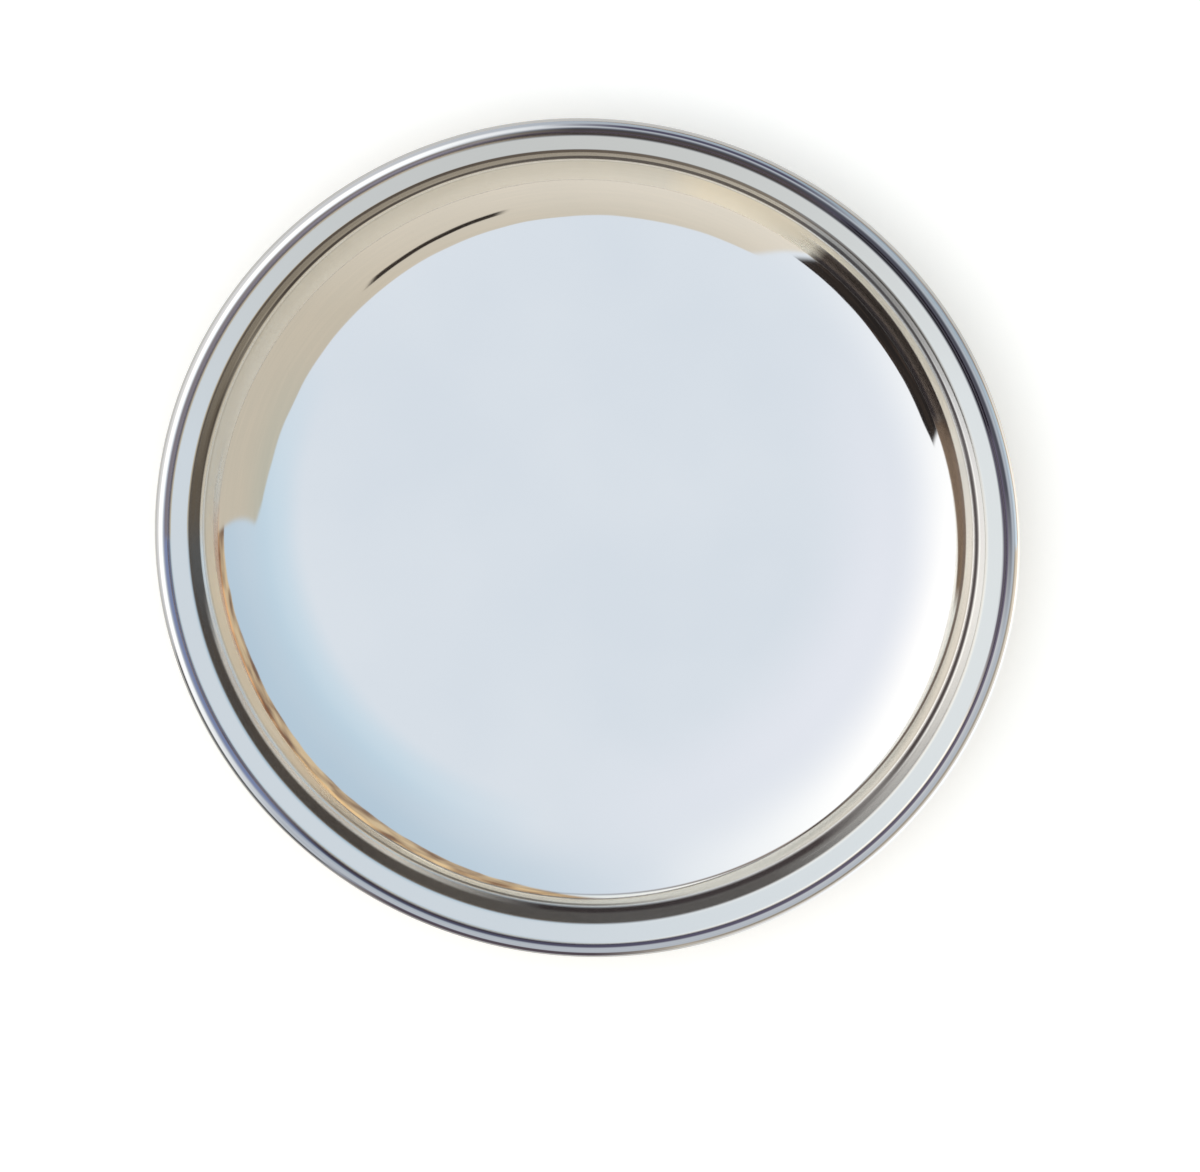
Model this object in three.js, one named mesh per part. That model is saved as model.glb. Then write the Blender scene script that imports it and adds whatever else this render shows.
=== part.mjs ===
// Steel quarter plate: one drawn sheet, curled at its edge round a wire ring.
// Millimetres and degrees, +Z up. The origin is the centre of the base's underside.
import * as THREE from 'three';

// Plate
const PLATE_DIAMETER = 180; // across the outside of the bead
const PLATE_DEPTH = 14.4; // from the floor up to the ledge, on the food side
const SHEET_THICKNESS = 0.6;

// Section of the sheet, from the floor out to the rim. Radii are those of the food side.
const WALL_SLOPE = 58; // where the rounded corner ends
const CREASE_SLOPE = 72; // steepest part of the pressed crease above the wall
const CREASE_RADIUS = 1; // both bends of the crease, on the middle of the sheet
const UPPER_WALL_SLOPE = 56;
const UPPER_WALL_LENGTH = 3.9; // along the slope, from the crease to the shoulder
const SHOULDER_RADIUS = 1.2; // upper wall to ledge
const LEDGE_WIDTH = 2.8; // flat ring between the shoulder and the bead
const TUCK_RADIUS = 0.5; // ledge up into the bead

// Wired edge
const WIRE_DIAMETER = 1.4;
const WIRE_CLEARANCE = 0.3; // between the wire and the curl
const WIRE_END_GAP = 0.8; // between the two butted ends
const CURL_SLOT = 0.35; // between the raw edge and the underside of the tuck

// Facets
const TURN_STEPS = 64; // round the plate
const CORNER_STEPS = 7;
const CREASE_STEPS = 1;
const SHOULDER_STEPS = 3;
const TUCK_STEPS = 2;
const CURL_STEPS = 14;
const WIRE_SIDES = 8;

const halfSheet = SHEET_THICKNESS / 2;
const rad = THREE.MathUtils.degToRad;

// Walks along the middle of the sheet, from the axis outwards, and keeps a station at each bend.
// A positive turn bends the sheet upwards.
class SheetWalk {
  constructor(height) {
    this.stations = [];
    this.place = new THREE.Vector2(0, height);
    this.slope = 0;
    this.mark();
  }

  mark() {
    this.stations.push({ place: this.place.clone(), slope: this.slope });
  }

  straight(length) {
    this.place.x += length * Math.cos(this.slope);
    this.place.y += length * Math.sin(this.slope);
    this.mark();
  }

  bend(radius, turn, steps) {
    const side = Math.sign(turn) * radius;
    const centre = new THREE.Vector2(-Math.sin(this.slope), Math.cos(this.slope));
    centre.multiplyScalar(side).add(this.place);
    const start = this.slope;
    for (let step = 1; step <= steps; step += 1) {
      this.slope = start + (turn * step) / steps;
      this.place.set(Math.sin(this.slope), -Math.cos(this.slope)).multiplyScalar(side).add(centre);
      this.mark();
    }
  }

  // Points on one face of the sheet, at a distance above the middle.
  face(offset) {
    return this.stations.map(({ place, slope }) => new THREE.Vector2(
      place.x - offset * Math.sin(slope),
      place.y + offset * Math.cos(slope),
    ));
  }
}

// How far a bend from one slope to another goes outwards and upwards.
function bendRun(radius, from, to) {
  return radius * Math.abs(Math.sin(to) - Math.sin(from));
}

function bendRise(radius, from, to) {
  return radius * Math.abs(Math.cos(to) - Math.cos(from));
}

// Middle of the sheet
const wallSlope = rad(WALL_SLOPE);
const creaseSlope = rad(CREASE_SLOPE);
const upperSlope = rad(UPPER_WALL_SLOPE);
const shoulderMiddle = SHOULDER_RADIUS - halfSheet;
const tuckMiddle = TUCK_RADIUS + halfSheet;
const beadRadius = WIRE_DIAMETER / 2 + WIRE_CLEARANCE + SHEET_THICKNESS;
const curlMiddle = beadRadius - halfSheet;

// The curl is centred on the ledge's own level, and the tuck's arc touches the curl's arc.
const ledgeHeight = halfSheet + PLATE_DEPTH;
const beadCentre = PLATE_DIAMETER / 2 - beadRadius;
const tuckToCurl = tuckMiddle + curlMiddle;
const tuckTurn = Math.acos(tuckMiddle / tuckToCurl);
const ledgeEnd = beadCentre - tuckToCurl * Math.sin(tuckTurn);

// The raw edge stops one slot away from the tuck's underside.
const rawEdgeReach = tuckMiddle + halfSheet + CURL_SLOT;
const openAngle = Math.acos(
  (tuckToCurl ** 2 + curlMiddle ** 2 - rawEdgeReach ** 2) / (2 * tuckToCurl * curlMiddle),
);
const curlTurn = 2 * Math.PI - openAngle;

// The rounded corner takes up what the wall's other parts leave of the depth.
const upperWallRise = UPPER_WALL_LENGTH * Math.sin(upperSlope);
const upperWallRun = UPPER_WALL_LENGTH * Math.cos(upperSlope);
const creaseRise = bendRise(CREASE_RADIUS, wallSlope, creaseSlope)
  + bendRise(CREASE_RADIUS, creaseSlope, upperSlope);
const creaseRun = bendRun(CREASE_RADIUS, wallSlope, creaseSlope)
  + bendRun(CREASE_RADIUS, creaseSlope, upperSlope);
const shoulderRise = bendRise(shoulderMiddle, upperSlope, 0);
const shoulderRun = bendRun(shoulderMiddle, upperSlope, 0);
const cornerRise = PLATE_DEPTH - creaseRise - upperWallRise - shoulderRise;
const cornerMiddle = cornerRise / (1 - Math.cos(wallSlope));

// The floor takes up what the wall and the rim leave of the radius.
const cornerRun = bendRun(cornerMiddle, 0, wallSlope);
const floorRadius = ledgeEnd - LEDGE_WIDTH - shoulderRun - upperWallRun - creaseRun - cornerRun;

function pressedPlateGeometry() {
  const sheet = new SheetWalk(halfSheet);
  sheet.straight(floorRadius);
  sheet.bend(cornerMiddle, wallSlope, CORNER_STEPS);
  sheet.bend(CREASE_RADIUS, creaseSlope - wallSlope, CREASE_STEPS);
  sheet.bend(CREASE_RADIUS, upperSlope - creaseSlope, CREASE_STEPS);
  sheet.straight(UPPER_WALL_LENGTH);
  sheet.bend(shoulderMiddle, -upperSlope, SHOULDER_STEPS);
  sheet.straight(LEDGE_WIDTH);
  sheet.bend(tuckMiddle, tuckTurn, TUCK_STEPS);
  sheet.bend(curlMiddle, -curlTurn, CURL_STEPS);
  const underside = sheet.face(-halfSheet);
  const foodSide = sheet.face(halfSheet);
  const section = [...underside, ...foodSide.reverse()];
  return new THREE.LatheGeometry(section, TURN_STEPS).rotateX(Math.PI / 2);
}

// Almost a full turn in a level circle, centred on the Z axis.
class OpenRing extends THREE.Curve {
  constructor(radius, height, gap) {
    super();
    this.radius = radius;
    this.height = height;
    this.gapAngle = gap / radius;
  }

  getPoint(share, target = new THREE.Vector3()) {
    const angle = this.gapAngle / 2 + share * (2 * Math.PI - this.gapAngle);
    return target.set(this.radius * Math.cos(angle), this.radius * Math.sin(angle), this.height);
  }
}

function rimWireGeometry() {
  const section = new THREE.Shape();
  section.absarc(0, 0, WIRE_DIAMETER / 2, 0, 2 * Math.PI);
  return new THREE.ExtrudeGeometry(section, {
    curveSegments: WIRE_SIDES / 2,
    steps: TURN_STEPS,
    extrudePath: new OpenRing(beadCentre, ledgeHeight, WIRE_END_GAP),
  });
}

const polishedSteel = new THREE.MeshStandardMaterial({ color: '#d9d9d7', roughness: 0.06, metalness: 1 });
const drawnWire = new THREE.MeshStandardMaterial({ color: '#a9a8a5', roughness: 0.35, metalness: 1 });

const pressedPlate = new THREE.Mesh(pressedPlateGeometry(), polishedSteel);
pressedPlate.name = 'pressed_plate';

const rimWire = new THREE.Mesh(rimWireGeometry(), drawnWire);
rimWire.name = 'rim_wire';

const quarterPlate = new THREE.Group();
quarterPlate.name = 'quarter_plate';
quarterPlate.add(pressedPlate, rimWire);

export default quarterPlate;
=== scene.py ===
"""Mirror-polished steel quarter plate: one drawn sheet whose edge is curled round a wire ring.

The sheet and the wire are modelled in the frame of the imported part, in metres, with +Z up and the
origin at the centre of the base. An azimuth is counted from +X towards +Y.
"""

import math
from typing import NamedTuple

import bpy
from bpy.props import FloatProperty, FloatVectorProperty, IntProperty, PointerProperty
from mathutils import Matrix, Vector


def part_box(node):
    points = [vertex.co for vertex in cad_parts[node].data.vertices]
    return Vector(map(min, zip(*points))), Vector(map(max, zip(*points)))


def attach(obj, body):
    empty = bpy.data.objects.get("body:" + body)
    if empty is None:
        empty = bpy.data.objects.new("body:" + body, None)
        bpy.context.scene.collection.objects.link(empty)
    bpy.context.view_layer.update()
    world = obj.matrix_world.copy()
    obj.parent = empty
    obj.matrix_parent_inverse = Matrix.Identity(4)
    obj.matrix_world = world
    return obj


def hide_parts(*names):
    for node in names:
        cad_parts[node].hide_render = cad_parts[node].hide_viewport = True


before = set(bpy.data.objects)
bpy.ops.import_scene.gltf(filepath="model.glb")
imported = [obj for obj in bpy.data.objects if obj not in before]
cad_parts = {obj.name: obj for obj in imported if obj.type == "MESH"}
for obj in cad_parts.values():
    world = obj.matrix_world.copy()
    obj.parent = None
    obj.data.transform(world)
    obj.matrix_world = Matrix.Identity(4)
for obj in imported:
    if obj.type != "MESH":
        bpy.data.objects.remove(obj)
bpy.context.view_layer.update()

bl_info = {
    "name": "Steel Quarter Plate",
    "version": (1, 0, 0),
    "blender": (4, 5, 0),
    "location": "View3D > Sidebar > Plate",
    "description": "Models a mirror-polished steel quarter plate with a wired rim, and its studio",
    "category": "Object",
}

MM = 0.001
PLATE_LOW, PLATE_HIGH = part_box("pressed_plate")
WIRE_LOW, WIRE_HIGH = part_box("rim_wire")
BODY = "root"

# The photograph's frame, and the plate's rim in it, in pixels
PHOTO_WIDTH = 1200
PHOTO_HEIGHT = 1172
RIM_CENTRE_IN_PHOTO = (586.6, 540.7)
RIM_WIDTH_IN_PHOTO = 867.6

# Centre line of the wire ring, which is also that of the bead
WIRE_RADIUS = (WIRE_HIGH.z - WIRE_LOW.z) / 2
RING_LEVEL = (WIRE_HIGH.z + WIRE_LOW.z) / 2
RING_RADIUS = (WIRE_HIGH.y - WIRE_LOW.y) / 2 - WIRE_RADIUS

# Steps along the sheet's section
FLOOR_STEPS = 8
CORNER_STEPS = 44
CREASE_STEPS = 5
UPPER_WALL_STEPS = 4
SHOULDER_STEPS = 12
LEDGE_STEPS = 4
TUCK_STEPS = 8
CURL_STEPS = 56

# Points nearer than this are one, and edges flatter than this are shaded smooth
WELD = 0.001 * MM
SMOOTH_ANGLE = math.radians(35)

# Floor paper, in metres: a wide disc with a coved edge
FLOOR_RADIUS = 40.0
FLOOR_SIDES = 96
COVE_RADIUS = 0.4
COVE_STEPS = 8

# Sizes of the patterns in the steel. The turned lines are drawn coarser than real ones, so that they show
CLOUD_SIZE = 40 * MM
WAVE_LENGTH = 20 * MM
POLISHED_LINES = 0.35 * MM
BUFFED_LINES = 0.5 * MM
DRAWN_LINES = 0.12 * MM

# Noise lies mostly between the low and the high value
NOISE_LOW, NOISE_MIDDLE, NOISE_HIGH = 0.3, 0.5, 0.7

# Sockets of the Mix node when it mixes colours
MIX_FACTOR, MIX_A, MIX_B, MIX_RESULT = 0, 6, 7, 2


def linear(code):
    """Linear red, green, blue and alpha of an sRGB hex colour."""
    parts = [int(code[at:at + 2], 16) / 255 for at in (1, 3, 5)]
    return [c / 12.92 if c <= 0.04045 else ((c + 0.055) / 1.055) ** 2.4 for c in parts] + [1.0]


def length(label, text, size):
    """A length that is set in millimetres and kept in metres."""
    return FloatProperty(name=label, description=text, default=size * MM, min=0.0, precision=5,
                         subtype="DISTANCE", unit="LENGTH")


def angle(label, text, degrees):
    """An angle that is set in degrees and kept in radians."""
    return FloatProperty(name=label, description=text, default=math.radians(degrees),
                         subtype="ANGLE", unit="ROTATION")


def share(label, text, value, top=1.0):
    """A plain number from 0 up to a limit."""
    return FloatProperty(name=label, description=text, default=value, min=0.0, max=top)


def colour(label, text, code):
    """A colour that is set as an sRGB hex value and kept linear."""
    return FloatVectorProperty(name=label, description=text, default=linear(code), size=4,
                               min=0.0, max=1.0, subtype="COLOR")


class PlateSheetSizes(bpy.types.PropertyGroup):
    """Section of the drawn sheet, from the floor out to the raw edge of the curl."""

    thickness: length("Sheet", "Thickness of the sheet", 0.6)
    wall_slope: angle("Wall slope", "Slope where the rounded corner ends", 58)
    crease_slope: angle("Crease slope", "Steepest part of the pressed crease", 72)
    crease_radius: length("Crease radius", "Both bends of the crease, on the middle of the sheet", 1.0)
    upper_wall_slope: angle("Upper wall slope", "Slope between the crease and the shoulder", 56)
    upper_wall: length("Upper wall", "Length along the slope, from the crease to the shoulder", 3.9)
    shoulder_radius: length("Shoulder radius", "Food side of the bend from wall to ledge", 1.2)
    ledge: length("Ledge", "Flat ring between the shoulder and the bead", 2.8)
    tuck_radius: length("Tuck radius", "Food side of the bend from the ledge into the bead", 0.5)
    curl_slot: length("Curl slot", "Between the raw edge and the underside of the tuck", 0.35)
    steps_round: IntProperty(name="Steps round", description="Edges round the plate", default=256, min=32)


class RimWireSizes(bpy.types.PropertyGroup):
    """Wire ring inside the curl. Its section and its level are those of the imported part."""

    end_gap: length("End gap", "Between the two butted ends", 0.8)
    end_chamfer: length("End chamfer", "Broken edge of a cropped end", 0.12)
    sides: IntProperty(name="Sides", description="Edges round the wire's section", default=16, min=8)
    steps_round: IntProperty(name="Steps round", description="Steps along the ring", default=192, min=32)


class SteelFinish(bpy.types.PropertyGroup):
    """Colours and gloss of the polished, buffed and drawn steel. Many tones of the food side are painted
    reflections, painted highlights and painted shade.
    """

    steel: colour("Steel", "Polished stainless steel, seen square on", "#DAD9D6")
    haze: colour("Haze", "Clouds of dried polish on the mirror", "#D6D6D4")
    # Painted highlight: the edge of the floor is lighter on one side
    gleam: colour("Gleam", "Edge of the floor that was polished brightest", "#E4DFDC")
    # Painted reflection of the cool side of the surround, at the foot of the wall
    blue: colour("Blue tint", "Foot of the wall with a faint blue tint from the polish", "#C9D2D3")
    bright: colour("Bright cut", "Steel that was cut clean by the buff", "#FFFDF8")
    # Painted reflection of the warm surround on the wall below the crease, off-centre as a reflection's edge
    # is
    glaze: colour("Glaze", "Buffed wall below the crease, under a warm glaze of wax", "#F0ECE2")
    # Painted highlights on that wall, on two sides
    cream: colour("Cream", "Patches of that wall where the wax is thinnest", "#FFF6E3")
    # The honey, straw, warm and amber tints are painted reflections of the warm surround, each on chosen
    # sides of the wall and the ledge
    honey: colour("Honey", "Steel with a honey tint from a little heat", "#FEECD0")
    straw: colour("Straw", "Steel with a straw tint from the buff's heat", "#EDE6D8")
    warm: colour("Warm", "Steel with a grey-brown tint from more heat", "#BEB5A6")
    amber: colour("Amber", "Steel with an amber tint from the most heat", "#EACDB6")
    # Painted reflection of a dark flag along the wall, and its fading end
    smear: colour("Smear", "Brown compound smeared along the wall", "#72645A")
    umber: colour("Umber", "Thin end of that smear", "#85705E")
    # Painted shade in the crease and at the shoulder, and the darkest part of the painted dark reflection
    # along the wall
    seam: colour("Seam", "Thick compound, left in the smear, at the crease and at the shoulder", "#463E3D")
    # Painted shade: a dark band on the upper wall, darkest on one side
    residue: colour("Residue", "Dark compound that stays in the lines of the upper wall", "#68635F")
    ledge: colour("Ledge", "Ring inside the bead, polished by hand", "#CDCECB")
    # Painted shade in the fold at the foot of the bead, and short painted dark reflections on the bead
    tuck: colour("Tuck line", "Compound left at the foot of the bead and in short lines on it", "#524C5A")
    bead: colour("Bead", "Curled edge, polished by hand", "#FFF8EE")
    # Painted shade: a grey band on the bead, and grey outer parts on all but one side
    bead_grey: colour("Bead grey", "Part of the bead that was left satin grey", "#B0AFAE")
    # Painted highlight on one side of the bead
    bead_sheen: colour("Bead sheen", "Side of the bead that was polished brightest", "#F2F6FF")
    # Painted reflection: a blue-grey foot of the bead on one side
    slate: colour("Slate", "Foot of the bead, blue-grey from the polish", "#8C8CA2")
    # Painted shade on one side of the bead and on part of its outer edge
    bead_shade: colour("Bead shade", "Side of the bead that the buff didn't reach", "#4A484D")
    # Painted reflection: grey on the upper wall, on two sides
    grey: colour("Grey", "Upper wall, greyed by wear", "#938C83")
    underside: colour("Underside", "Buffed, unpolished back of the sheet", "#C2C1BE")
    wire: colour("Wire", "Bright drawn wire", "#A9A8A5")
    polish: share("Polish", "Roughness of the mirror finish", 0.045)
    satin: share("Satin", "Roughness of the buffed bands", 0.22)
    matt: share("Matt", "Roughness where the buff only grazed the wall", 0.5)


class StageLook(bpy.types.PropertyGroup):
    """Floor, soft surround and camera."""

    floor: colour("Floor", "Matt white paper", "#F8F2E8")
    floor_fill: share("Floor fill", "How much the paper is lifted towards white", 0.3)
    overhead: colour("Overhead", "Surround above the plate", "#EAF3FF")
    cool: colour("Cool side", "Surround on the cool side", "#C4DAED")
    cool_side: angle("Cool azimuth", "Where the cool side lies", 26)
    board: colour("Board", "Warm reflector board", "#D3CABA")
    pale_board: colour("Pale board", "Its lighter end", "#EFE8DC")
    pale_side: angle("Pale azimuth", "Where the board is lightest", -120)
    flag: colour("Flag", "Dark flags, one before the board and one beside it", "#2B2726")
    cloth: colour("Cloth", "Brown threads of the strip, the board and the flags", "#3A2F26")
    skirting: colour("Skirting", "Low strip at the foot of the cool side", "#DEC7A4")
    skirting_shade: colour("Skirting shade", "Darker patches of the low strip", "#82695A")
    glow: colour("Glow", "Soft low light", "#FFEDD2")
    glow_side: angle("Glow azimuth", "Where the low light lies", 172)
    glow_strength: share("Glow strength", "Brightness of the low light over the surround", 0.56, 10.0)
    glow_falloff: share("Glow falloff", "How fast the low light fades towards overhead", 2.5, 10.0)
    brightness: share("Surround brightness", "Strength of the whole surround", 1.2, 10.0)
    elevation: angle("Camera elevation", "Above the table", 74.6)
    turn: angle("Camera turn", "Azimuth of the camera", 75)
    distance: FloatProperty(name="Camera distance", description="From the plate's rim to the camera",
                            default=3.0, min=0.5, subtype="DISTANCE", unit="LENGTH")


class SheetPath:
    """Walks along the middle of the sheet, from the axis outwards. A positive turn bends it upwards."""

    def __init__(self, height, half_sheet):
        self.radius = 0.0
        self.height = height
        self.slope = 0.0
        self.half_sheet = half_sheet
        self.stations = []
        self.marks = {}

    def keep(self):
        self.stations.append((self.radius, self.height))

    def mark(self, name):
        """Keeps the radius of the food side here under a name."""
        self.marks[name] = self.radius - self.half_sheet * math.sin(self.slope)

    def straight(self, run, steps):
        for _ in range(steps):
            self.radius += run / steps * math.cos(self.slope)
            self.height += run / steps * math.sin(self.slope)
            self.keep()

    def bend(self, radius, turn, steps):
        side = math.copysign(radius, turn)
        centre_radius = self.radius - side * math.sin(self.slope)
        centre_height = self.height + side * math.cos(self.slope)
        start = self.slope
        for step in range(1, steps + 1):
            self.slope = start + turn * step / steps
            self.radius = centre_radius + side * math.sin(self.slope)
            self.height = centre_height - side * math.cos(self.slope)
            self.keep()


def bend_run(radius, start, end):
    """How far a bend from one slope to another goes outwards."""
    return radius * abs(math.sin(end) - math.sin(start))


def bend_rise(radius, start, end):
    """How far a bend from one slope to another goes upwards."""
    return radius * abs(math.cos(end) - math.cos(start))


def sheet_path(sizes):
    """The sheet's middle line. The corner and the floor take up what the rim and the wall leave."""
    half = sizes.thickness / 2
    curl = PLATE_HIGH.x - RING_RADIUS - half
    shoulder = sizes.shoulder_radius - half
    tuck = sizes.tuck_radius + half
    tuck_to_curl = tuck + curl
    tuck_turn = math.acos(tuck / tuck_to_curl)
    ledge_end = RING_RADIUS - tuck_to_curl * math.sin(tuck_turn)
    raw_edge_reach = tuck + half + sizes.curl_slot
    open_cosine = (tuck_to_curl ** 2 + curl ** 2 - raw_edge_reach ** 2) / (2 * tuck_to_curl * curl)
    curl_turn = 2 * math.pi - math.acos(open_cosine)

    bends = ((sizes.crease_radius, sizes.wall_slope, sizes.crease_slope),
             (sizes.crease_radius, sizes.crease_slope, sizes.upper_wall_slope),
             (shoulder, sizes.upper_wall_slope, 0.0))
    rise = sum(bend_rise(*bend) for bend in bends) + sizes.upper_wall * math.sin(sizes.upper_wall_slope)
    run = sum(bend_run(*bend) for bend in bends) + sizes.upper_wall * math.cos(sizes.upper_wall_slope)
    corner = (RING_LEVEL - half - rise) / (1 - math.cos(sizes.wall_slope))
    floor_radius = ledge_end - sizes.ledge - run - bend_run(corner, 0.0, sizes.wall_slope)

    path = SheetPath(half, half)
    path.straight(floor_radius, FLOOR_STEPS)
    path.bend(corner, sizes.wall_slope, CORNER_STEPS)
    path.mark("crease")
    path.bend(sizes.crease_radius, sizes.crease_slope - sizes.wall_slope, CREASE_STEPS)
    path.bend(sizes.crease_radius, sizes.upper_wall_slope - sizes.crease_slope, CREASE_STEPS)
    path.straight(sizes.upper_wall, UPPER_WALL_STEPS)
    path.mark("shoulder")
    path.bend(shoulder, -sizes.upper_wall_slope, SHOULDER_STEPS)
    path.straight(sizes.ledge, LEDGE_STEPS)
    path.mark("tuck")
    path.bend(tuck, tuck_turn, TUCK_STEPS)
    path.bend(curl, -curl_turn, CURL_STEPS)
    return path


def fresh_start():
    """Object mode with nothing selected, as the frame's nodes come in selected."""
    if bpy.context.object and bpy.context.object.mode != "OBJECT":
        bpy.ops.object.mode_set(mode="OBJECT")
    bpy.ops.object.select_all(action="DESELECT")


def named(name):
    """Names the active object and its mesh, and puts its place into its mesh."""
    bpy.ops.object.transform_apply(location=True, rotation=True, scale=True)
    piece = bpy.context.object
    piece.name = name
    piece.data.name = name
    return piece


def select_rim():
    """Selects only the open edge of the mesh in edit mode."""
    bpy.ops.mesh.select_mode(type="EDGE")
    bpy.ops.mesh.select_all(action="DESELECT")
    bpy.ops.mesh.select_non_manifold(extend=False, use_wire=False, use_boundary=True, use_multi_face=False,
                                     use_non_contiguous=False, use_verts=False)


def extrude_rings(stations):
    """Extrudes the selected ring from station to station, each a radius and a height."""
    old_radius, old_height = stations[0]
    for radius, height in stations[1:]:
        bpy.ops.mesh.extrude_edges_move(TRANSFORM_OT_translate={"value": (0, 0, height - old_height)})
        grow = radius / old_radius
        bpy.ops.transform.resize(value=(grow, grow, 1), center_override=(0, 0, height))
        old_radius, old_height = radius, height


def add(tree, kind, links=None, **settings):
    """Adds a node with its settings. An input takes a value, a socket, or a node's first output."""
    node = tree.nodes.new(kind)
    for name, value in settings.items():
        setattr(node, name, value)
    for key, value in (links or {}).items():
        if isinstance(value, bpy.types.Node):
            value = value.outputs[0]
        if isinstance(value, bpy.types.NodeSocket):
            tree.links.new(value, node.inputs[key])
        else:
            node.inputs[key].default_value = value
    return node


def new_material(name):
    """A material, its tree, its Principled shader and the object's own coordinates."""
    material = bpy.data.materials.new(name)
    material.use_nodes = True
    tree = material.node_tree
    shader = tree.nodes["Principled BSDF"]
    place = add(tree, "ShaderNodeTexCoord").outputs["Object"]
    return material, tree, shader, place


def toward(azimuth, reach=1.0, climb=0.0):
    """A vector that points to an azimuth."""
    return Vector((reach * math.cos(azimuth), reach * math.sin(azimuth), climb))


def radius_about(tree, place, centre=(0, 0, 0)):
    """Heading and distance from an upright axis through a point of the base."""
    flat = add(tree, "ShaderNodeVectorMath", {0: place, 1: (1, 1, 0)}, operation="MULTIPLY")
    out = add(tree, "ShaderNodeVectorMath", {0: flat, 1: centre}, operation="SUBTRACT")
    radius = add(tree, "ShaderNodeVectorMath", {0: out}, operation="LENGTH").outputs["Value"]
    return add(tree, "ShaderNodeVectorMath", {0: out}, operation="NORMALIZE"), radius


def turned_lines(tree, heading, radius, spacing, wander):
    """Noise drawn out along circles about the axis: spacing is across the lines, wander along them."""
    across = add(tree, "ShaderNodeMath", {0: radius, 1: 1 / spacing}, operation="MULTIPLY")
    lift = add(tree, "ShaderNodeCombineXYZ", {"Z": across})
    coil = add(tree, "ShaderNodeVectorMath", {0: heading, 1: (wander, wander, 0), 2: lift},
               operation="MULTIPLY_ADD")
    return add(tree, "ShaderNodeTexNoise", {"Vector": coil, "Scale": 1.0, "Detail": 3.0}).outputs[0]


class Ring(NamedTuple):
    """A ring of the finish, measured on the food side in millimetres from a mark of the section.

    It shows most towards its side, an azimuth in degrees, and fades between two cosines of the angle
    away from there. Least is what is left of it on the other side. Lean is how far its inner and its
    outer edge run off-centre, and soft how far they blur.
    """

    tone: str
    start: tuple
    end: tuple
    soft: float = 0.06
    lean: tuple = (0.0, 0.0)
    side: float = 0.0
    fade: tuple = None
    least: float = 0.0


# Painted reflections run off-centre along this azimuth, in degrees, which is the camera's, as the edge of a
# reflection does
LEAN_SIDE = 75
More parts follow.
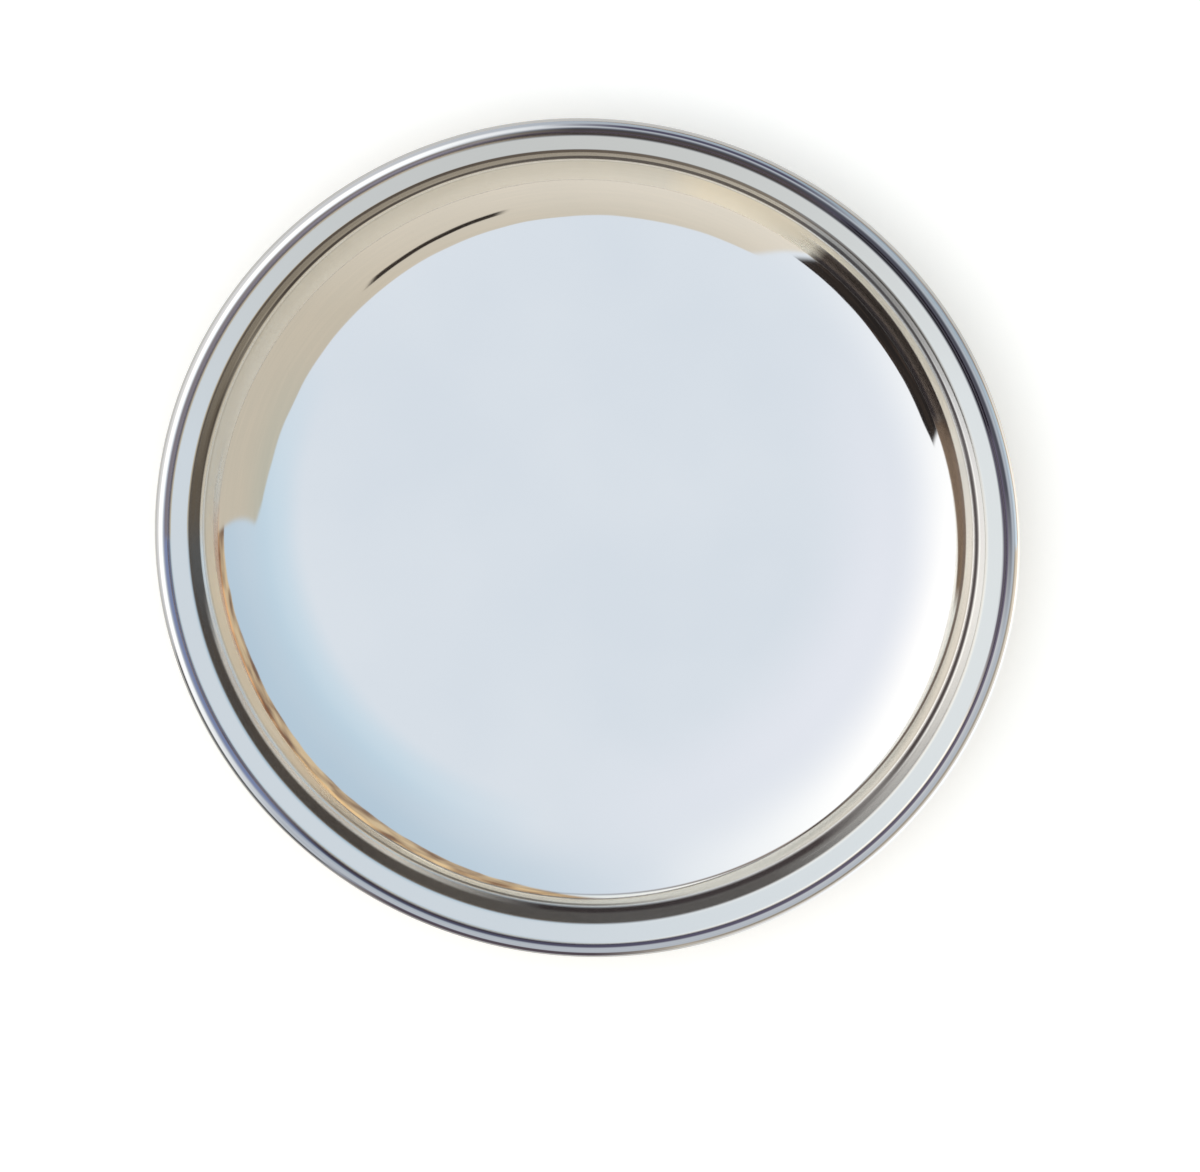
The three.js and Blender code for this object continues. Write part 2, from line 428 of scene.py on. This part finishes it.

# Tones of the food side, most of them painted reflections, painted highlights and painted shade. Later rings
# lie over earlier ones
RINGS = (
    Ring("gleam", ("crease", -28), ("crease", -10), soft=10, side=-25, fade=(0.3, 1.0)),
    Ring("blue", ("crease", -17.5), ("crease", -9.5), soft=3, side=-155, fade=(0.55, 0.9)),
    Ring("glaze", ("crease", -3.3), ("crease", 0.0), soft=0.2, lean=(-2.4, 0)),
    Ring("amber", ("crease", -3.3), ("crease", -1.75), soft=0.2, lean=(-1.5, 0),
         side=-164, fade=(0.93, 0.975)),
    Ring("cream", ("crease", -3.3), ("crease", -0.3), soft=0.3, lean=(-2.4, 0),
         side=62, fade=(0.96, 0.985)),
    Ring("umber", ("crease", -2.6), ("crease", -1.75), soft=0.2, lean=(-3.7, 0),
         side=8, fade=(0.955, 0.975)),
    Ring("smear", ("crease", -3.3), ("crease", -1.75), soft=0.2, lean=(-2.4, 0),
         side=36.5, fade=(0.955, 0.967)),
    Ring("seam", ("crease", -3.3), ("crease", -2.3), soft=0.3, lean=(-2.4, -2.4),
         side=36.5, fade=(0.955, 0.967)),
    Ring("smear", ("crease", -2.3), ("crease", -1.75), soft=0.15, lean=(-0.3, 0),
         side=-40, fade=(0.4, 0.9)),
    Ring("straw", ("crease", -1.75), ("crease", 0.0), soft=0.15, side=-120, fade=(0.2, 0.7)),
    Ring("warm", ("crease", -1.75), ("crease", 0.1), soft=0.15, side=-25, fade=(0.75, 1.1)),
    Ring("cream", ("crease", -1.75), ("crease", 0.0), soft=0.15, side=40, fade=(0.88, 0.95)),
    Ring("honey", ("crease", -1.9), ("crease", -0.2), soft=0.2, side=-155, fade=(0.85, 0.97)),
    Ring("bright", ("crease", -0.15), ("shoulder", 0.3), soft=0.15),
    Ring("ledge", ("shoulder", 0.05), ("tuck", 0.4)),
    Ring("straw", ("shoulder", 0.05), ("tuck", 0.4), side=0, fade=(-0.2, 2.2)),
    Ring("warm", ("shoulder", 0.05), ("tuck", 0.4), side=95, fade=(0.3, 1.4)),
    Ring("seam", ("crease", -0.45), ("crease", -0.15), soft=0.12,
         side=-105, fade=(0.85, 1.05), least=0.12),
    Ring("seam", ("crease", 0.0), ("crease", 1.3), soft=0.3, side=-75, fade=(0.7, 0.93)),
    Ring("seam", ("crease", 0.15), ("crease", 0.95), soft=0.25, side=-12, fade=(0.72, 0.93)),
    Ring("residue", ("crease", 1.25), ("shoulder", 0.42), soft=0.25, lean=(0.4, 0.25),
         side=-125, fade=(-0.45, 0.45), least=0.25),
    Ring("residue", ("crease", 0.62), ("crease", 1.5), soft=0.15, side=175, fade=(0.9, 0.97)),
    Ring("grey", ("crease", 0.9), ("shoulder", 0.36), soft=0.25, lean=(0.4, 0.4),
         side=115, fade=(0.2, 1.25)),
    Ring("grey", ("crease", 1.0), ("shoulder", 0.36), soft=0.2, lean=(0.4, 0.4),
         side=42, fade=(0.94, 1.015)),
    Ring("seam", ("crease", 0.38), ("crease", 1.1), soft=0.15, lean=(0.2, 0.2),
         side=80, fade=(-0.1, 0.5)),
    Ring("seam", ("crease", 0.2), ("crease", 1.25), soft=0.12, lean=(0.2, 0.2),
         side=70, fade=(0.75, 0.95)),
    Ring("seam", ("shoulder", 0.15), ("shoulder", 0.4), soft=0.1, lean=(0, 0.45),
         side=115, fade=(-0.3, 1.3), least=0.06),
    Ring("bead", ("tuck", 0.4), ("rim", 0.1)),
    Ring("bead_sheen", ("tuck", 1.9), ("rim", 0.1), soft=0.2, side=-50, fade=(0.6, 0.9)),
    Ring("bead_grey", ("tuck", 1.0), ("tuck", 1.75), soft=0.2),
    Ring("bead_grey", ("tuck", 1.6), ("tuck", 2.65), soft=0.2, side=-25, fade=(-0.75, -0.35)),
    Ring("bead_shade", ("tuck", -0.05), ("tuck", 1.95), soft=0.25, side=50, fade=(0.45, 0.75)),
    Ring("tuck", ("tuck", 0.15), ("tuck", 0.8), soft=0.15, side=0, fade=(0.88, 0.98)),
    Ring("tuck", ("tuck", 0.5), ("tuck", 1.15), soft=0.15),
    Ring("slate", ("tuck", 0.4), ("tuck", 1.5), soft=0.2, side=165, fade=(0.4, 0.6)),
    Ring("bead_grey", ("rim", -0.95), ("rim", 0.1), soft=0.2, side=155, fade=(-0.95, -0.6)),
    Ring("bead_shade", ("rim", -0.95), ("rim", 0.1), soft=0.2, side=-130, fade=(0.7, 1.25)),
    Ring("tuck", ("tuck", 2.2), ("tuck", 2.9), soft=0.12, side=-103, fade=(0.9, 0.97)),
    Ring("tuck", ("tuck", 2.25), ("tuck", 2.7), soft=0.1, side=73, fade=(0.92, 0.98)),
)

# Gloss of the food side: satin from below the crease up to the shoulder, matt where the buff only grazed it
DULLED = (
    Ring("satin", ("crease", -3.3), ("shoulder", 0.4), soft=0.2, lean=(-2.4, 0)),
    Ring("matt", ("crease", -1.75), ("crease", 0.1), soft=0.15, side=35, fade=(0.8, 0.95)),
    Ring("matt", ("crease", -1.75), ("crease", 0.1), soft=0.15, side=175, fade=(0.6, 0.8)),
    Ring("matt", ("crease", -3.3), ("crease", 0.1), soft=0.2, lean=(-2.4, 0),
         side=112, fade=(0.5, 0.75)),
)


def ring_share(tree, place, ring, marks):
    """How much of a ring shows: 1 between its edges and on its side, 0 elsewhere."""
    inner_centre, outer_centre = (toward(math.radians(LEAN_SIDE), lean * MM) for lean in ring.lean)
    heading, radius = radius_about(tree, place, inner_centre)
    outer_radius = radius_about(tree, place, outer_centre)[1]
    start, end = (marks[mark] + offset * MM for mark, offset in (ring.start, ring.end))
    soft = ring.soft * MM
    inside = add(tree, "ShaderNodeMapRange", {"Value": radius, "From Min": start - soft,
                                              "From Max": start + soft}, interpolation_type="SMOOTHSTEP")
    within = add(tree, "ShaderNodeMapRange", {"Value": outer_radius, "From Min": end + soft,
                                              "From Max": end - soft}, interpolation_type="SMOOTHSTEP")
    shown = add(tree, "ShaderNodeMath", {0: inside, 1: within}, operation="MULTIPLY")
    if ring.fade is None:
        return shown
    facing = add(tree, "ShaderNodeVectorMath", {0: heading, 1: toward(math.radians(ring.side))},
                 operation="DOT_PRODUCT").outputs["Value"]
    faded = add(tree, "ShaderNodeMapRange", {"Value": facing, "From Min": ring.fade[0],
                                             "From Max": ring.fade[1], "To Min": ring.least})
    return add(tree, "ShaderNodeMath", {0: shown, 1: faded}, operation="MULTIPLY")


def mirror_polished_stainless(finish, path):
    """Stainless sheet, mirror polished on a wheel.

    The eye sees the surround, not the steel. Clouds of dried polish and waves from the press break the
    mirror. The tinted rings below the crease, on the ledge and on the bead are painted reflections and
    painted highlights. The dark rings on the wall, in the crease and beside the bead are painted shade
    and painted reflections of dark things.
    """
    material, tree, shader, place = new_material("mirror_polished_stainless")
    marks = {**path.marks, "rim": PLATE_HIGH.x}

    # Clouds of polish, under the rings
    clouds = add(tree, "ShaderNodeTexNoise", {"Vector": place, "Scale": 1 / CLOUD_SIZE, "Detail": 2.0})
    cloudy = add(tree, "ShaderNodeMapRange", {"Value": clouds, "From Min": 0.35, "From Max": 0.65})
    tone = add(tree, "ShaderNodeMix", {MIX_FACTOR: cloudy, MIX_A: finish.steel[:], MIX_B: finish.haze[:]},
               data_type="RGBA").outputs[MIX_RESULT]
    # Most rings paint a reflection, a highlight or shade into the steel's colour
    for ring in RINGS:
        shown = ring_share(tree, place, ring, marks)
        tint = getattr(finish, ring.tone)[:]
        tone = add(tree, "ShaderNodeMix", {MIX_FACTOR: shown, MIX_A: tone, MIX_B: tint},
                   data_type="RGBA").outputs[MIX_RESULT]
    tree.links.new(tone, shader.inputs["Base Color"])

    # Buffed rings are duller than the mirror, and the turned lines make the gloss uneven
    lines = turned_lines(tree, *radius_about(tree, place), spacing=POLISHED_LINES, wander=4.0)
    level = finish.polish
    for ring in DULLED:
        shown = ring_share(tree, place, ring, marks)
        level = add(tree, "ShaderNodeMapRange", {"Value": shown, "To Min": level,
                                                 "To Max": getattr(finish, ring.tone)})
    streaks = add(tree, "ShaderNodeMapRange", {"Value": lines, "From Min": NOISE_LOW,
                                               "From Max": NOISE_HIGH, "To Min": 0.8, "To Max": 1.25})
    rough = add(tree, "ShaderNodeMath", {0: level, 1: streaks}, operation="MULTIPLY")
    tree.links.new(rough.outputs[0], shader.inputs["Roughness"])

    # Waves from the press, and the turned lines on top of them
    waves = add(tree, "ShaderNodeTexNoise", {"Vector": place, "Scale": 1 / WAVE_LENGTH, "Detail": 1.0})
    broad = add(tree, "ShaderNodeBump", {"Height": waves, "Strength": 0.5, "Distance": 0.3 * MM})
    fine = add(tree, "ShaderNodeBump", {"Height": lines, "Strength": 0.02, "Distance": 0.05 * MM,
                                        "Normal": broad})
    tree.links.new(fine.outputs[0], shader.inputs["Normal"])
    shader.inputs["Metallic"].default_value = 1.0
    return material


def scored_steel(name, tint, lines, rough, score):
    """Steel of one tint under turned lines.

    The lines have a spacing and a wander, the roughness a least and a most, and the scores a strength
    and a depth.
    """
    material, tree, shader, place = new_material(name)
    spacing, wander = lines
    noise = turned_lines(tree, *radius_about(tree, place), spacing, wander)
    least, most = rough
    uneven = add(tree, "ShaderNodeMapRange", {"Value": noise, "From Min": NOISE_LOW, "From Max": NOISE_HIGH,
                                              "To Min": least, "To Max": most})
    strength, depth = score
    scores = add(tree, "ShaderNodeBump", {"Height": noise, "Strength": strength, "Distance": depth})
    tree.links.new(uneven.outputs[0], shader.inputs["Roughness"])
    tree.links.new(scores.outputs[0], shader.inputs["Normal"])
    shader.inputs["Base Color"].default_value = tint[:]
    shader.inputs["Metallic"].default_value = 1.0
    return material


def lathe_buffed_stainless(finish):
    """Back of the sheet, buffed on a lathe and left unpolished: soft rings instead of a mirror."""
    return scored_steel("lathe_buffed_stainless", finish.underside, lines=(BUFFED_LINES, 3.0),
                        rough=(0.16, 0.32), score=(0.12, 0.06 * MM))


def bright_drawn_wire(finish):
    """Steel wire pulled through a die: fine die lines run along it, under a grey lustre."""
    return scored_steel("bright_drawn_wire", finish.wire, lines=(DRAWN_LINES, 6.0),
                        rough=(0.25, 0.45), score=(0.2, 0.03 * MM))


class PLATE_OT_sheet(bpy.types.Operator):
    """Draws the sheet: floor, rounded corner, creased wall, ledge and curled edge"""

    bl_idname = "plate.sheet"
    bl_label = "Plate Sheet"
    bl_options = {"REGISTER", "UNDO"}

    def execute(self, context):
        sizes, finish = context.scene.plate_sheet, context.scene.plate_finish
        path = sheet_path(sizes)
        radius, height = path.stations[0]
        fresh_start()
        bpy.ops.mesh.primitive_circle_add(vertices=sizes.steps_round, radius=radius, fill_type="TRIFAN",
                                          location=(0, 0, height))
        sheet = named("plate_sheet")
        bpy.ops.object.mode_set(mode="EDIT")
        select_rim()
        extrude_rings(path.stations)
        bpy.ops.mesh.select_all(action="SELECT")
        bpy.ops.mesh.normals_make_consistent(inside=False)
        bpy.ops.object.mode_set(mode="OBJECT")
        if sheet.data.polygons[0].normal.z < 0:
            bpy.ops.object.mode_set(mode="EDIT")
            bpy.ops.mesh.flip_normals()
            bpy.ops.object.mode_set(mode="OBJECT")
        sheet.data.materials.append(mirror_polished_stainless(finish, path))
        sheet.data.materials.append(lathe_buffed_stainless(finish))
        bpy.ops.object.modifier_add(type="SOLIDIFY")
        wall = sheet.modifiers[-1]
        wall.thickness = sizes.thickness
        wall.offset = 0.0
        wall.use_even_offset = True
        wall.material_offset = 1
        bpy.ops.object.modifier_apply(modifier=wall.name)
        bpy.ops.object.shade_smooth_by_angle(angle=SMOOTH_ANGLE)
        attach(sheet, BODY)
        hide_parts("pressed_plate")
        return {"FINISHED"}


class PLATE_OT_rim_wire(bpy.types.Operator):
    """Bends the wire ring inside the curl, with its two cropped ends butted"""

    bl_idname = "plate.rim_wire"
    bl_label = "Rim Wire"
    bl_options = {"REGISTER", "UNDO"}

    def execute(self, context):
        sizes, finish = context.scene.plate_wire, context.scene.plate_finish
        gap = sizes.end_gap / RING_RADIUS
        start = gap / 2
        fresh_start()
        bpy.ops.mesh.primitive_circle_add(
            vertices=sizes.sides, radius=WIRE_RADIUS, fill_type="NGON", rotation=(math.pi / 2, 0, start),
            location=toward(start, RING_RADIUS, RING_LEVEL))
        wire = named("drawn_rim_wire")
        bpy.ops.object.mode_set(mode="EDIT")
        bpy.ops.mesh.select_all(action="SELECT")
        bpy.ops.mesh.spin(steps=sizes.steps_round, angle=2 * math.pi - gap, center=(0, 0, RING_LEVEL),
                          axis=(0, 0, 1))
        bpy.ops.mesh.select_all(action="SELECT")
        bpy.ops.mesh.remove_doubles(threshold=WELD)
        bpy.ops.mesh.normals_make_consistent(inside=False)
        bpy.ops.mesh.select_mode(type="FACE")
        bpy.ops.mesh.select_all(action="DESELECT")
        bpy.ops.mesh.select_face_by_sides(number=sizes.sides)
        bpy.ops.mesh.bevel(offset=sizes.end_chamfer, segments=2, affect="EDGES")
        bpy.ops.object.mode_set(mode="OBJECT")
        wire.data.materials.append(bright_drawn_wire(finish))
        bpy.ops.object.shade_smooth_by_angle(angle=SMOOTH_ANGLE)
        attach(wire, BODY)
        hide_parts("rim_wire")
        return {"FINISHED"}


def matt_white_paper(look):
    """Floor paper. It shows white to the eye and in the steel, and keeps the plate's shadow."""
    material = bpy.data.materials.new("matt_white_paper")
    material.use_nodes = True
    tree = material.node_tree
    tree.nodes.clear()
    rays = add(tree, "ShaderNodeLightPath")
    seen = add(tree, "ShaderNodeMath", {0: rays.outputs["Is Camera Ray"], 1: rays.outputs["Is Glossy Ray"]},
               operation="MAXIMUM")
    shown = add(tree, "ShaderNodeMath", {0: seen, 1: rays.outputs["Is Transmission Ray"]},
                operation="MAXIMUM")
    lift = add(tree, "ShaderNodeMath", {0: shown, 1: look.floor_fill}, operation="MULTIPLY")
    paper = add(tree, "ShaderNodeBsdfDiffuse", {"Color": look.floor[:]})
    white = add(tree, "ShaderNodeEmission", {"Strength": lift})
    both = add(tree, "ShaderNodeAddShader", {0: paper, 1: white})
    add(tree, "ShaderNodeOutputMaterial", {"Surface": both})
    return material


class Board(NamedTuple):
    """An upright sheet round the plate, between the azimuths of its two side edges, in degrees.

    Each of its top edges faces an azimuth at a height over its distance, and so does its foot. Slant
    is how far the side edges lean in for each unit of height, ragged how uneven the first top is, and
    soft how far all edges blur.
    """

    tone: str
    tops: tuple
    right: float
    left: float
    foot: tuple = None
    slant: float = 0.0
    ragged: float = 0.0
    soft: float = 0.012


# Later boards stand before earlier ones
BOARDS = (
    Board("skirting", ((33, 0.285), (10, 0.6)), -20, 110, ragged=0.08, soft=0.05),
    Board("board", ((-62, 1.65), (-85, 2.5)), -121.5, -13, slant=0.13),
    Board("flag", ((-40, 1.2),), -84, -66, foot=(-40, 1.02)),
    Board("flag", ((-135, 0.37), (-77, 1.06)), -149, -122.8, slant=-0.12, ragged=0.06),
)


def board_share(tree, way, ragged, board):
    """How much of a board is seen along a way: 1 inside its edges, 0 outside."""
    right, left = math.radians(board.right + 90), math.radians(board.left - 90)
    edges = [toward(math.radians(faces), climb=-1 / rise) for faces, rise in board.tops]
    edges += [toward(right, climb=-board.slant), toward(left, climb=-board.slant)]
    if board.foot:
        faces, rise = board.foot
        edges.append(-toward(math.radians(faces), climb=-1 / rise))
    shown = None
    for edge in edges:
        past = add(tree, "ShaderNodeVectorMath", {0: way, 1: edge},
                   operation="DOT_PRODUCT").outputs["Value"]
        if shown is None and board.ragged:
            past = add(tree, "ShaderNodeMath", {0: ragged, 1: board.ragged / board.tops[0][1], 2: past},
                       operation="MULTIPLY_ADD")
        part = add(tree, "ShaderNodeMapRange", {"Value": past, "From Min": -board.soft,
                                                "From Max": board.soft}, interpolation_type="SMOOTHSTEP")
        shown = add(tree, "ShaderNodeMath", {0: shown, 1: part}, operation="MULTIPLY") if shown else part
    return shown


def soft_surround(look):
    """World round the plate: a pale dome with a cool and a glowing side, a low strip, a board and flags."""
    world = bpy.data.worlds.new("soft_surround")
    world.use_nodes = True
    tree = world.node_tree
    tree.nodes.clear()
    way = add(tree, "ShaderNodeTexCoord").outputs["Generated"]

    to_cool, to_glow, to_pale = (
        add(tree, "ShaderNodeVectorMath", {0: way, 1: toward(side)},
            operation="DOT_PRODUCT").outputs["Value"]
        for side in (look.cool_side, look.glow_side, look.pale_side))
    cool = add(tree, "ShaderNodeMapRange", {"Value": to_cool, "From Min": 0.0, "From Max": 0.95},
               interpolation_type="SMOOTHSTEP")
    dome = add(tree, "ShaderNodeMix", {MIX_FACTOR: cool, MIX_A: look.overhead[:], MIX_B: look.cool[:]},
               data_type="RGBA").outputs[MIX_RESULT]
    lit = add(tree, "ShaderNodeMath", {0: to_glow, 1: 0.0}, operation="MAXIMUM")
    near_glow = add(tree, "ShaderNodeMath", {0: lit, 1: look.glow_falloff}, operation="POWER")
    light = [part * look.glow_strength for part in look.glow[:3]]
    seen = add(tree, "ShaderNodeVectorMath", {0: near_glow, 1: light, 2: dome}, operation="MULTIPLY_ADD")

    # The low strip is patchy and dark away from the cool side, and the board is lightest at one end
    patches = add(tree, "ShaderNodeTexNoise", {"Vector": way, "Scale": 7.0, "Detail": 2.0}).outputs[0]
    patchy = add(tree, "ShaderNodeMapRange", {"Value": patches, "From Min": 0.42, "From Max": 0.66})
    away = add(tree, "ShaderNodeMapRange", {"Value": to_cool, "From Min": 0.6, "From Max": 0.3})
    shaded = add(tree, "ShaderNodeMath", {0: patchy, 1: away}, operation="MAXIMUM")
    strip = add(tree, "ShaderNodeMix", {MIX_FACTOR: shaded, MIX_A: look.skirting[:],
                                        MIX_B: look.skirting_shade[:]}, data_type="RGBA").outputs[MIX_RESULT]
    pale = add(tree, "ShaderNodeMapRange", {"Value": to_pale, "From Min": 0.35, "From Max": 1.0})
    sheet = add(tree, "ShaderNodeMix", {MIX_FACTOR: pale, MIX_A: look.board[:], MIX_B: look.pale_board[:]},
                data_type="RGBA").outputs[MIX_RESULT]
    tones = {"skirting": strip, "board": sheet, "flag": look.flag[:3]}

    # Threads of the cloth that the boards are covered with: noise drawn out sideways
    fineness = (5.0, 5.0, 30.0)
    squeezed = add(tree, "ShaderNodeVectorMath", {0: way, 1: fineness}, operation="MULTIPLY")
    threads = add(tree, "ShaderNodeTexNoise", {"Vector": squeezed, "Scale": 1.0, "Detail": 4.0})
    thread = add(tree, "ShaderNodeMapRange", {"Value": threads, "From Min": 0.45, "From Max": 0.75})
    ragged = add(tree, "ShaderNodeMath", {0: patches, 1: NOISE_MIDDLE}, operation="SUBTRACT")
    for board in BOARDS:
        tone = add(tree, "ShaderNodeVectorMath", {0: thread, 1: look.cloth[:3], 2: tones[board.tone]},
                   operation="MULTIPLY_ADD")
        shown = board_share(tree, way, ragged, board)
        seen = add(tree, "ShaderNodeMix", {MIX_FACTOR: shown, MIX_A: seen, MIX_B: tone},
                   data_type="RGBA").outputs[MIX_RESULT]
    backdrop = add(tree, "ShaderNodeBackground", {"Color": seen, "Strength": look.brightness})
    add(tree, "ShaderNodeOutputWorld", {"Surface": backdrop})
    return world


def aimed_camera(look):
    """Camera at the photograph's angle: it stands on the far side, so +Y is up in the picture."""
    data = bpy.data.cameras.new("photo_camera")
    camera = bpy.data.objects.new("photo_camera", data)
    bpy.context.scene.collection.objects.link(camera)
    rim = Vector((0, 0, RING_LEVEL))
    back = toward(look.turn, math.cos(look.elevation), math.sin(look.elevation))
    up = Vector((0, 1, 0))
    up = (up - back * up.dot(back)).normalized()
    turned = Matrix((up.cross(back), up, back)).transposed().to_4x4()
    camera.matrix_world = Matrix.Translation(rim + back * look.distance) @ turned
    plate_share = RIM_WIDTH_IN_PHOTO / PHOTO_WIDTH
    data.sensor_fit = "HORIZONTAL"
    data.lens = data.sensor_width * look.distance * plate_share / (PLATE_HIGH.x - PLATE_LOW.x)
    data.shift_x = (PHOTO_WIDTH / 2 - RIM_CENTRE_IN_PHOTO[0]) / PHOTO_WIDTH
    data.shift_y = (RIM_CENTRE_IN_PHOTO[1] - PHOTO_HEIGHT / 2) / PHOTO_WIDTH
    return camera


class PLATE_OT_stage(bpy.types.Operator):
    """Lays the white floor with its coved edge, and sets the surround and the camera"""

    bl_idname = "plate.stage"
    bl_label = "Stage"
    bl_options = {"REGISTER", "UNDO"}

    def execute(self, context):
        look = context.scene.plate_stage
        fresh_start()
        bpy.ops.mesh.primitive_circle_add(vertices=FLOOR_SIDES, radius=FLOOR_RADIUS, fill_type="NGON")
        floor = named("paper_floor")
        bpy.ops.object.mode_set(mode="EDIT")
        select_rim()
        quarter = [math.pi / 2 * step / COVE_STEPS for step in range(COVE_STEPS + 1)]
        extrude_rings([(FLOOR_RADIUS + COVE_RADIUS * math.sin(turn), COVE_RADIUS * (1 - math.cos(turn)))
                       for turn in quarter])
        bpy.ops.object.mode_set(mode="OBJECT")
        bpy.ops.object.shade_smooth_by_angle(angle=SMOOTH_ANGLE)
        floor.data.materials.append(matt_white_paper(look))
        context.scene.world = soft_surround(look)
        context.scene.camera = aimed_camera(look)
        context.scene.view_settings.view_transform = "Standard"
        return {"FINISHED"}


class PLATE_PT_sidebar(bpy.types.Panel):
    """Sizes, finishes and the operators that make the plate"""

    bl_idname = "PLATE_PT_sidebar"
    bl_label = "Steel Quarter Plate"
    bl_space_type = "VIEW_3D"
    bl_region_type = "UI"
    bl_category = "Plate"

    def draw(self, context):
        for operator in OPERATORS:
            self.layout.operator(operator.bl_idname)
        for name in PROPERTY_GROUPS:
            box = self.layout.box()
            group = getattr(context.scene, name)
            for prop in group.bl_rna.properties:
                if not prop.is_readonly and prop.identifier != "name":
                    box.prop(group, prop.identifier)


PROPERTY_GROUPS = {
    "plate_sheet": PlateSheetSizes,
    "plate_wire": RimWireSizes,
    "plate_finish": SteelFinish,
    "plate_stage": StageLook,
}
OPERATORS = (PLATE_OT_sheet, PLATE_OT_rim_wire, PLATE_OT_stage)


def register():
    for name, group in PROPERTY_GROUPS.items():
        bpy.utils.register_class(group)
        setattr(bpy.types.Scene, name, PointerProperty(type=group))
    for operator in OPERATORS:
        bpy.utils.register_class(operator)
    bpy.utils.register_class(PLATE_PT_sidebar)


def unregister():
    bpy.utils.unregister_class(PLATE_PT_sidebar)
    for operator in reversed(OPERATORS):
        bpy.utils.unregister_class(operator)
    for name, group in PROPERTY_GROUPS.items():
        delattr(bpy.types.Scene, name)
        bpy.utils.unregister_class(group)


def main():
    register()
    bpy.ops.plate.sheet()
    bpy.ops.plate.rim_wire()
    bpy.ops.plate.stage()


if __name__ == "__main__":
    main()
